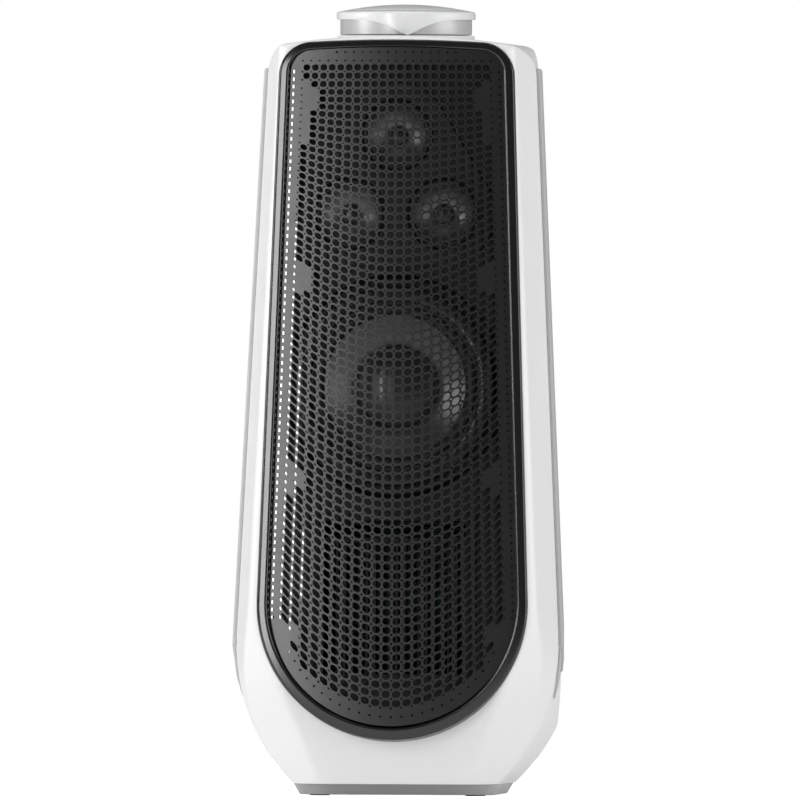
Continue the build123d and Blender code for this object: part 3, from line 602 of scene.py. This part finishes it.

# %% [markdown]
# The large holes are rounded squares and the small ones are round. Both are drawn in the lattice's
# own steps, so they lean and stretch with their rows. Small holes over a glowing bar are bigger.

# %% The lattice's holes


def hole(column, row, size, corners, power):
    """One hole, drawn in the lattice's own skew so that it leans with its rows."""
    points = []
    for k in range(corners):
        angle = 2 * math.pi * (k + 0.5) / corners
        c, s = math.cos(angle), math.sin(angle)
        reach = size / (abs(c) ** power + abs(s) ** power) ** (1 / power)
        points.append(Vector(lattice(column + reach * c, row + reach * s)))
    return points


LIT = {-11: (129.0, 500.0), -10: (115.0, 374.0), -9: (172.0, 231.0)}
ARC_ROW_R, ARC_ROW_Z = 98.0, 167.0
BOTTOM_Z = 150.0
LARGE, SMALL, SMALL_LIT = 0.39, 0.125, 0.2


def lit(column, v):
    """Whether a small hole lies over one of the glowing bars behind the sheet."""
    low, high = LIT.get(column, (0, 0))
    return up(low) < v < up(high)


holes = []
for row in range(0, 84):
    for column in range(-COLUMNS - 1, COLUMNS + 2):
        u, v = lattice(column, row)
        room = inset_of(u, v)
        small_ok = room > (3.4 if row > 1 else 1.6)
        if abs(column) > COLUMNS or not small_ok or row == 2:
            continue
        if math.hypot(u, v - up(ARC_ROW_Z)) > ARC_ROW_R - 4.5 and v < up(BOTTOM_Z):
            continue
        if abs(column) == COLUMNS or not on_pad(u, v) or lit(column, v):
            holes.append(hole(column, row, SMALL_LIT if lit(column, v) else SMALL, 6, 2))
    for column in range(-COLUMNS, COLUMNS):
        u, v = lattice(column + 0.5, row + 0.5)
        clear = 11.8 if v < up(BOTTOM_Z) else 9.5
        if inset_of(u, v) > clear and not on_pad(u, v) and row > 1:
            holes.append(hole(column + 0.5, row + 0.5, LARGE, 12, 2.7))
print(len(holes), "holes in the lattice")

# %% [markdown]
# One more row of small holes runs down each side, close to the bezel. It has a step of its own.
# The left one is larger, because a glowing bar lies behind it. A last row follows the bottom arc.

# %% The edge rows
EDGE_STEP, EDGE_INSET = 6.5, 12.9
ARC_STEP, ARC_REACH = 9.3, 12
LIT_DOT, SIDE_DOT, ARC_DOT = 1.65, 0.95, 1.05


def dot_hole(u, v, radius):
    turns = [math.pi * (k + 0.5) / 4 for k in range(8)]
    return [Vector((u + radius * math.cos(t), v + radius * math.sin(t))) for t in turns]


for side in (-1, 1):
    z = 630.5
    while z > BOTTOM_Z:
        u = bezel_half(z) - EDGE_INSET
        if z < ARC_ROW_Z:
            u = math.sqrt((BEZEL_R - EDGE_INSET) ** 2 - (z - ARC_ROW_Z) ** 2)
        holes.append(dot_hole(side * u, up(z), LIT_DOT if side < 0 else SIDE_DOT))
        z -= EDGE_STEP
for k in range(-ARC_REACH, ARC_REACH + 1):
    turn = k * ARC_STEP / ARC_ROW_R
    place = (ARC_ROW_R * math.sin(turn), up(ARC_ROW_Z - ARC_ROW_R * math.cos(turn)))
    holes.append(dot_hole(*place, ARC_DOT))
print(len(holes), "holes in all")

# %% [markdown]
# The sheet is one flat outline with all the holes, cut into triangles, then bent onto the gentle
# curve of the grille and given the thickness of real steel. Thousands of booleans would take
# minutes. A constrained triangulation does the same in seconds.

# %% The perforated sheet
SHEET_EDGE, SHEET_RISE = -7.1, 8.0
half = BEZEL_R - BEZEL_SIDE
bend = (half ** 2 + SHEET_RISE ** 2) / (2 * SHEET_RISE)


def sheet_depth(u):
    return SHEET_EDGE + SHEET_RISE - bend + math.sqrt(bend ** 2 - u * u)


flat_points, owner, rims = [], [], []
for number, loop in enumerate([inner_edge] + holes):
    start, count = len(flat_points), len(loop)
    flat_points += loop
    owner += [number] * count
    rims += [(start + k, start + (k + 1) % count) for k in range(count)]
tri_points, _, tri_faces, _, _, _ = geometry.delaunay_2d_cdt(flat_points, rims, [], 0, 1e-5, False)
print(len(flat_points), "points in,", len(tri_points), "points out")
kept = [face for face in tri_faces if owner[face[0]] == 0 or len({owner[i] for i in face}) > 1]
sheet_points = [on_front(p.x, p.y, sheet_depth(p.x)) for p in tri_points]
grille = new_piece("grille_sheet", sheet_points, kept)
apply_modifier(grille, "SOLIDIFY", thickness=1.1 * MM, offset=-1.0, use_even_offset=False)
grille.data.polygons.foreach_set("use_smooth", [True] * len(grille.data.polygons))
grille.data.set_sharp_from_angle(angle=math.radians(30))
finish_piece(grille, "cabinet", grille_coat, ["grille"])
print("grille:", len(grille.data.polygons), "faces")

# %% [markdown]
# Slim white bars lie behind the outer columns of small holes on the left. Their glow is painted
# light, standing in for light that falls in through those holes, so those holes shine while the
# large ones beside them stay dark. Each bar follows its column down the sheet.

# %% The bars that glow with painted light
BARS = [(-1, EDGE_INSET, 150.5, 634.0), (-1, 20.4, 129.0, 500.0), (-10 / 11, 20.4, 115.0, 374.0),
        (-9 / 11, 20.4, 172.0, 231.0)]
bar_points, bar_faces = [], []
for share, inset, low, high in BARS:
    start, steps = len(bar_points), 12
    for k in range(steps + 1):
        z = low + (high - low) * k / steps
        u = share * (bezel_half(z) - inset)
        depth = sheet_depth(u) - 1.15
        ring = [(-0.75, 0), (0.75, 0), (0.75, -1.2), (-0.75, -1.2)]
        bar_points += [on_front(u + a, up(z), depth + b) for a, b in ring]
    ends = [(0, 1, 2, 3), tuple(4 * steps + k for k in range(4))]
    faces = grid_faces(steps + 1, 4, wrap_columns=True) + ends
    bar_faces += [tuple(start + i for i in face) for face in faces]
bars = new_piece("painted_glow_bars", bar_points, bar_faces)
# Painted light: the bars glow to stand in for light falling in through the left holes; they are no lamp.
finish_piece(bars, "cabinet", light_white, ["light_guide"])

# %% [markdown]
# ## The woofer
# A woofer is turned, like a pot on a wheel: a trim ring, a half-round rubber surround, a pressed
# cone and a domed dust cap. Each is a section spun about the driver's axis. The cone, the cap and
# the coil ride on the moving body. The surround joins the two, but here it is a plain piece that
# rides on neither body.

# %% The woofer's turned pieces
WOOFER_Z = 357.5
at_woofer = at_driver(0.0, WOOFER_Z)


def arc_profile(start, end, rise, steps=14):
    """Section points on an arc from start to end that bulges by rise."""
    a, b = Vector(start), Vector(end)
    chord = b - a
    normal = Vector((-chord.y, chord.x)).normalized()
    points = []
    for k in range(steps + 1):
        t = k / steps
        p = a.lerp(b, t) + normal * (rise * 4 * t * (1 - t))
        points.append((p.x, p.y))
    return points


trim = turned_piece("woofer_trim", [
    (74.5, -14.8), (74.5, -13.2), (75.2, -12.0), (76.6, -11.5), (84.6, -11.5), (86.0, -11.9), (86.8, -12.9),
    (87.0, -14.0), (87.0, -15.0), (80.0, -15.0)], at_woofer, 128)
finish_piece(trim, "cabinet", trim_black, ["woofer_trim_ring"])

roll_top = [(66.7 - 4.3 * math.cos(math.pi * k / 16), -15.6 + 4.6 * math.sin(math.pi * k / 16))
            for k in range(17)]
surround = turned_piece(
    "woofer_surround_roll",
    [(61.2, -15.6)] + roll_top + [(73.8, -15.2), (73.8, -15.9), (71.0, -16.2)]
    + [(r, w - 0.9) for r, w in reversed(roll_top)] + [(61.2, -16.5)], at_woofer, 128)
surround.data.materials.append(rubber)
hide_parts("woofer_surround")
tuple(at_woofer(62.4, 0, -15.0))
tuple(at_woofer(70.8, 0, -15.0))
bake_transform(surround)
print("the surround has", len(surround.data.polygons), "faces")

# %% [markdown]
# The cone is a thin pressing that falls steeply to the voice coil, and a domed cap closes its
# middle. Both have a back as well as a front, so each is a closed solid of its own.

# %% The cone and its cap
front_side = arc_profile((61.4, -15.0), (19.7, -42.4), 0.9)
back_side = [(r, w - 1.2) for r, w in reversed(front_side)]
cone = turned_piece("woofer_cone_pressing", front_side + back_side, at_woofer, 128)
finish_piece(cone, "woofer_moving", cone_grey, ["woofer_cone"])
dome = [(35.0 * math.sin(t * math.pi / 32), -31.6 + 13.0 * math.cos(t * math.pi / 32) ** 1.15)
        for t in range(17)]
under_dome = [(max(0.0, r - 0.8), w - 0.9) for r, w in reversed(dome[:-1])]
cap = turned_piece("woofer_cap", dome + [(34.2, -32.2)] + under_dome, at_woofer, 96)
finish_piece(cap, "woofer_moving", cap_black, ["woofer_dust_cap"])
print("cone and cap:", len(cone.data.polygons) + len(cap.data.polygons), "faces")

# %% [markdown]
# ## The three small drivers
# They are small versions of the woofer, set in one trim plate with a raised lip that follows the
# rounded triangle round them.

# %% The small drivers
small = {"top": (0.0, 576.0), "left": (-40.6, 507.6), "right": (40.6, 507.6)}
for name, (u0, z0) in small.items():
    spot = at_driver(u0, z0)
    moving = "mid_" + name + "_moving"
    roll = [(27.3 - 1.9 * math.cos(math.pi * k / 12), -15.4 + 2.0 * math.sin(math.pi * k / 12))
            for k in range(13)]
    ring = turned_piece("mid_roll_" + name, [(25.0, -15.4)] + roll + [(29.6, -15.4), (29.6, -16.0)]
                        + [(r, w - 0.6) for r, w in reversed(roll)] + [(25.0, -16.0)], spot, 72)
    ring.data.materials.append(rubber)
    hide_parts("mid_surround_" + name)
    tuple(spot(25.4, 0, -15.0))
    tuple(spot(29.2, 0, -15.0))
    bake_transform(ring)
    side = arc_profile((25.2, -15.2), (8.4, -27.6), 1.2, 10)
    piece = turned_piece("mid_pressing_" + name, side + [(r, w - 0.8) for r, w in reversed(side)], spot, 72)
    finish_piece(piece, moving, cone_grey, ["mid_cone_" + name])
    bead = [(8.6 * math.sin(t * math.pi / 20), -26.8 + 4.6 * math.cos(t * math.pi / 20)) for t in range(11)]
    bead += [(max(0.0, r - 0.6), w - 0.7) for r, w in reversed(bead[:-1])]
    piece = turned_piece("mid_bead_" + name, bead, spot, 48)
    finish_piece(piece, moving, cap_black, ["mid_dome_" + name])
print(len(small), "small drivers, three pieces each")

# %% [markdown]
# ## The dial
# The dial on top is a low puck on a polished collar. Its cap ends in front in a soft pointed lip
# that hangs over the collar and shows which way the dial is turned. The cap is made as rings of
# points whose lower edge drops by a bell curve near the pointer.

# %% The dial's cap
DIAL_Y, CAP_R, POINTER = -5.0, 60.7, math.radians(6.0)
RIM_LOW, LIP_DROP = 676.8, 13.9


def lip(angle):
    """How far the rim hangs down at an angle from the pointer."""
    across = CAP_R * math.sin(angle)
    if math.cos(angle) < 0:
        return 0.0
    return LIP_DROP * math.exp(-(abs(across) / 19.5) ** 1.45)


def on_dial(radius, angle, z):
    turn = angle + POINTER
    return Vector((radius * math.sin(turn), DIAL_Y - radius * math.cos(turn), z)) * MM


STEPS = 240
section = [("crown", r) for r in (0.0, 8.0, 18.0, 28.0, 38.0, 46.0, 51.5, 52.2, 52.9, 56.0, 58.2)]
points = []
rows = 0
angles = [2 * math.pi * k / STEPS for k in range(STEPS)]
for kind, r in section:
    groove = 0.5 if abs(r - 52.2) < 0.1 else 0.0
    points += [on_dial(r, a, 690.0 - 7.0 * (r / CAP_R) ** 2.0 - groove) for a in angles]
    rows += 1
for k in range(1, 9):
    bead = math.pi / 2 * k / 8
    points += [on_dial(58.2 + 2.5 * math.sin(bead), a, 683.55 - 2.6 * (1 - math.cos(bead))) for a in angles]
    rows += 1
for k in range(1, 13):
    t = k / 12
    row = []
    for a in angles:
        low = RIM_LOW - lip(a)
        row.append(on_dial(CAP_R - 0.6 * t ** 3, a, 680.95 + (low - 680.95) * t))
    points += row
    rows += 1
for inset in (0.9, 2.4):
    lift = 0.15 if inset < 2 else 0.8
    points += [on_dial(CAP_R - 0.6 - inset, a, RIM_LOW - lip(a) + lift) for a in angles]
    rows += 1
points += [on_dial(57.9, a, 681.0) for a in angles]
points += [on_dial(0.0, a, 681.0) for a in angles]
rows += 2
dial_cap = new_piece("dial_top", points, grid_faces(rows, STEPS, wrap_columns=True), crisp=40)
finish_piece(dial_cap, "volume_dial", dial_white, ["dial_cap"])
print("the dial's cap has", len(dial_cap.data.polygons), "faces")

# %% [markdown]
# Under the cap comes a plain satin collar that turns with it. Both stand on a low white seat that
# belongs to the cabinet and stays still. Two short lathe sections are all they need.

# %% The dial's collar and seat


def around_dial(a, b, z):
    return Vector((a, DIAL_Y + b, z)) * MM


collar = turned_piece("dial_collar", [
    (40.0, 663.2), (56.6, 663.2), (57.3, 663.6), (57.5, 664.4), (57.5, 680.9), (40.0, 680.9)],
    around_dial, 160)
finish_piece(collar, "volume_dial", collar_metal, ["dial_neck"])
seat = turned_piece("dial_seat", [(46.0, 654.0), (59.2, 654.0), (59.8, 662.2), (59.4, 662.6), (46.0, 662.6)],
                    around_dial, 120)
finish_piece(seat, "cabinet", white_shell)
print("collar and seat:", len(collar.data.polygons) + len(seat.data.polygons), "faces")

# %% [markdown]
# ## Rails and foot
# A grey strip covers the seam on each flank, with a thinner toe at its lower end. The foot is a
# shallow plate that is wider on top than below.

# %% The side rails


def rail_part(proud, half, low, high):
    """One bar of a rail: its lower end is cut at a slant, higher at the front."""
    section = [(0, -0.94), (0.6, -1), (0.88, -0.96), (1, -0.86), (1, 0.86), (0.88, 0.96), (0.6, 1), (0, 0.94)]
    points = []
    levels = [low, low + 0.3, low + 1.0] + [low + 8 + (high - low - 10) * k / 20 for k in range(21)] + [high]
    for z0 in levels:
        step = 1.0 - 0.5 * max(0.0, 0.3 - abs(z0 - low)) / 0.3 - 0.4 * (z0 == high)
        fade = max(0.0, 1 - (z0 - low) / 60)
        for out, across in section:
            y = across * half
            z = z0 - y * 1.1 * fade
            points.append(Vector((spread(z) + 0.1 + out * proud * step, seam_y(z) + y, z)) * MM)
    count = len(section)
    faces = grid_faces(len(levels), count, wrap_columns=True)
    return points, faces + [tuple(range(count)), tuple(range(len(points) - count, len(points)))]


def rail(name, side, node):
    bar, bar_faces = rail_part(3.4, 11.0, 120.0, 634.0)
    toe, toe_faces = rail_part(2.0, 9.0, 95.0, 150.0)
    points = [Vector((side * p.x, p.y, p.z)) for p in bar + toe]
    faces = bar_faces + [tuple(len(bar) + i for i in face) for face in toe_faces]
    piece = new_piece(name, points, faces, crisp=40)
    return finish_piece(piece, "cabinet", rail_grey, [node])


rail("rail_left", -1, "side_rail_left")
rail("rail_right", 1, "side_rail_right")
print("two rails over the seam")

# %% [markdown]
# ## The foot
# The foot is a flat plate under the cabinet, a little smaller than its bottom, whose sides spread
# upwards. A cube with a taper would have flat, hard edges. A stack of six rounded outlines gives
# the taper and a small round on its upper and lower edges at once.

# %% The foot


def foot_ring(half_x, half_y, z, radius=8.0):
    quarter = rounded([(half_x, 0, 0), (half_x, -half_y, radius), (0, -half_y, 0)], 8, 4)
    ring = quarter + [Vector((-p.x, p.y)) for p in reversed(quarter[:-1])]
    ring += [Vector((p.x, -p.y)) for p in reversed(ring[1:-1])]
    return [Vector((p.x, p.y, z)) * MM for p in ring]


stack = [(83.0, 77.0, 1.0), (84.4, 78.4, 1.0), (84.9, 78.9, 1.5),
         (89.4, 83.4, 9.6), (89.7, 83.7, 10.1), (89.3, 83.3, 10.4)]
points = [p for level in stack for p in foot_ring(*level)]
count = len(points) // len(stack)
faces = grid_faces(len(stack), count, wrap_columns=True)
faces += [tuple(range(count)), tuple(range(len(points) - count, len(points)))]
foot = new_piece("foot_plate", points, faces, crisp=30)
finish_piece(foot, "cabinet", foot_grey, ["base_foot"])
print("the foot is", 2 * max(half_x for half_x, _, _ in stack), "mm wide")

# %% [markdown]
# ## Finishes for the CAD pieces
# The remaining pieces keep their CAD shape, because it is right, and only get a real finish.

# %% Dress the CAD nodes
dress = {
    "rubber_feet": rubber, "baffle": black_satin, "baffle_gasket": foam,
    "driver_trim_plate": trim_black, "port_louvre": black_satin, "port_duct": black_satin,
    "woofer_basket": anodised, "woofer_magnet": ferrite, "woofer_yoke": steel, "woofer_spider": cloth,
    "woofer_coil": bare_aluminium, "dial_shaft": steel, "dial_bush": brass, "dial_encoder": black_satin,
    "rear_panel": black_satin, "heat_sink": anodised, "status_light": light_white, "input_jacks": trim_black,
    "inlet_socket": black_satin, "rocker_frame": black_gloss, "power_rocker": black_gloss,
    "gain_knob": trim_black, "tone_knob": trim_black, "pairing_button": rubber, "mode_button": rubber,
    "amplifier_board": board_green, "power_supply": board_green, "panel_screws": screw_black,
    "damping_foam": wadding, "driver_screws": screw_black, "case_screws": screw_black,
}
for name in small:
    dress["mid_basket_" + name] = black_satin
    dress["mid_magnet_" + name] = ferrite
for node, material in dress.items():
    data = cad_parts[node].data
    data.materials.clear()
    data.materials.append(material)
print(len(dress), "CAD nodes dressed")

# %% [markdown]
# ## Light and floor
# Two tall soft lights on the left draw the bright edges on the black front, and a broad one on the
# right fills the white flank.

# %% The lights


def soft_light(name, place, target, width, height, power):
    data = bpy.data.lights.new(name, "AREA")
    data.shape = "RECTANGLE"
    data.size, data.size_y = width, height
    data.energy = power
    lamp = bpy.data.objects.new(name, data)
    lamp.location = place
    lamp.rotation_euler = (Vector(target) - Vector(place)).to_track_quat("-Z", "Y").to_euler()
    bpy.context.scene.collection.objects.link(lamp)
    return lamp


def standing_light(name, azimuth, away, middle, wide, tall, power):
    """A tall soft strip at an angle from straight ahead, aimed at the loudspeaker."""
    turn = math.radians(azimuth)
    place = (away * math.sin(turn), -away * math.cos(turn), middle)
    return soft_light(name, place, (0, 0, middle - 0.2), wide, tall, power)


standing_light("left_strip", -24, 3.0, 0.72, 0.45, 1.5, 20.0)
standing_light("side_box", -73, 2.6, 1.05, 0.9, 1.2, 26.0)
standing_light("right_fill", 78, 3.0, 0.7, 2.2, 2.2, 38.0)
soft_light("top", (0.0, -0.3, 2.4), (0, 0, 0.4), 1.4, 1.4, 5)

print("four soft lights")

# %% [markdown]
# A pale surround keeps the white cabinet white. Reflections see a dimmer surround, so that the
# gloss black bezel stays black instead of mirroring a white room.

# %% The surround
world = bpy.data.worlds.new("studio")
world.use_nodes = True
bpy.context.scene.world = world
nodes, links = world.node_tree.nodes, world.node_tree.links
seen = nodes.new("ShaderNodeBackground")
seen.inputs["Color"].default_value = (1, 1, 1, 1)
seen.inputs["Strength"].default_value = 1.0
glow = nodes["Background"]
glow.inputs["Color"].default_value = (1, 1, 1, 1)
glow.inputs["Strength"].default_value = 0.56
dim = nodes.new("ShaderNodeBackground")
dim.inputs["Color"].default_value = (1, 1, 1, 1)
dim.inputs["Strength"].default_value = 0.12
path = nodes.new("ShaderNodeLightPath")
soft = nodes.new("ShaderNodeMixShader")
links.new(path.outputs["Is Glossy Ray"], soft.inputs["Fac"])
links.new(glow.outputs["Background"], soft.inputs[1])
links.new(dim.outputs["Background"], soft.inputs[2])
mix = nodes.new("ShaderNodeMixShader")
links.new(path.outputs["Is Camera Ray"], mix.inputs["Fac"])
links.new(soft.outputs["Shader"], mix.inputs[1])
links.new(seen.outputs["Background"], mix.inputs[2])
links.new(mix.outputs["Shader"], nodes["World Output"].inputs["Surface"])

print("the surround has a strength of", glow.inputs["Strength"].default_value)

# %% [markdown]
# The floor is plain and pale. Its glow is only seen directly and lights nothing, so the chin isn't
# lit from below.

# %% The floor
size = 3.0
floor_mesh = bpy.data.meshes.new("floor")
corners = [(-size, -size, 0), (size, -size, 0), (size, size, 0), (-size, size, 0)]
floor_mesh.from_pydata(corners, [], [(0, 1, 2, 3)])
floor = bpy.data.objects.new("floor", floor_mesh)
bpy.context.scene.collection.objects.link(floor)
pale = finish_of("pale_floor", (0.94, 0.94, 0.94), rough=0.8, bump=0.05, shade=0.01, specular=0.1, glow=0.4)
seen_only = pale.node_tree.nodes.new("ShaderNodeLightPath")
pale.node_tree.links.new(seen_only.outputs["Is Camera Ray"],
                         pale.node_tree.nodes["Principled BSDF"].inputs["Emission Strength"])
floor_mesh.materials.append(pale)
print("the floor is", 2 * size, "m across")

# %% [markdown]
# ## The camera
# The camera is level and a little to the loudspeaker's right. It stands 30 metres off with a very
# long lens. Near by, the front would look larger than the foot. From far away the lines keep
# their true proportions.

# %% The camera
YAW, ROLL_TILT, DISTANCE = math.radians(5.0), math.radians(-0.22), 30.0
FIELD = 0.6984
data = bpy.data.cameras.new("camera")
data.sensor_width = 36.0
data.lens = 36.0 * DISTANCE / FIELD
data.clip_end = 120.0
camera = bpy.data.objects.new("camera", data)
aside = -0.0046
aim = Vector((aside * math.cos(YAW), aside * math.sin(YAW), 0.3448))
camera.location = aim + Vector((math.sin(YAW), -math.cos(YAW), 0)) * DISTANCE
camera.rotation_euler = (math.radians(90), ROLL_TILT, YAW)
bpy.context.scene.collection.objects.link(camera)
bpy.context.scene.camera = camera
bpy.context.scene.view_settings.view_transform = "Standard"
print("the lens is", round(data.lens), "mm long")
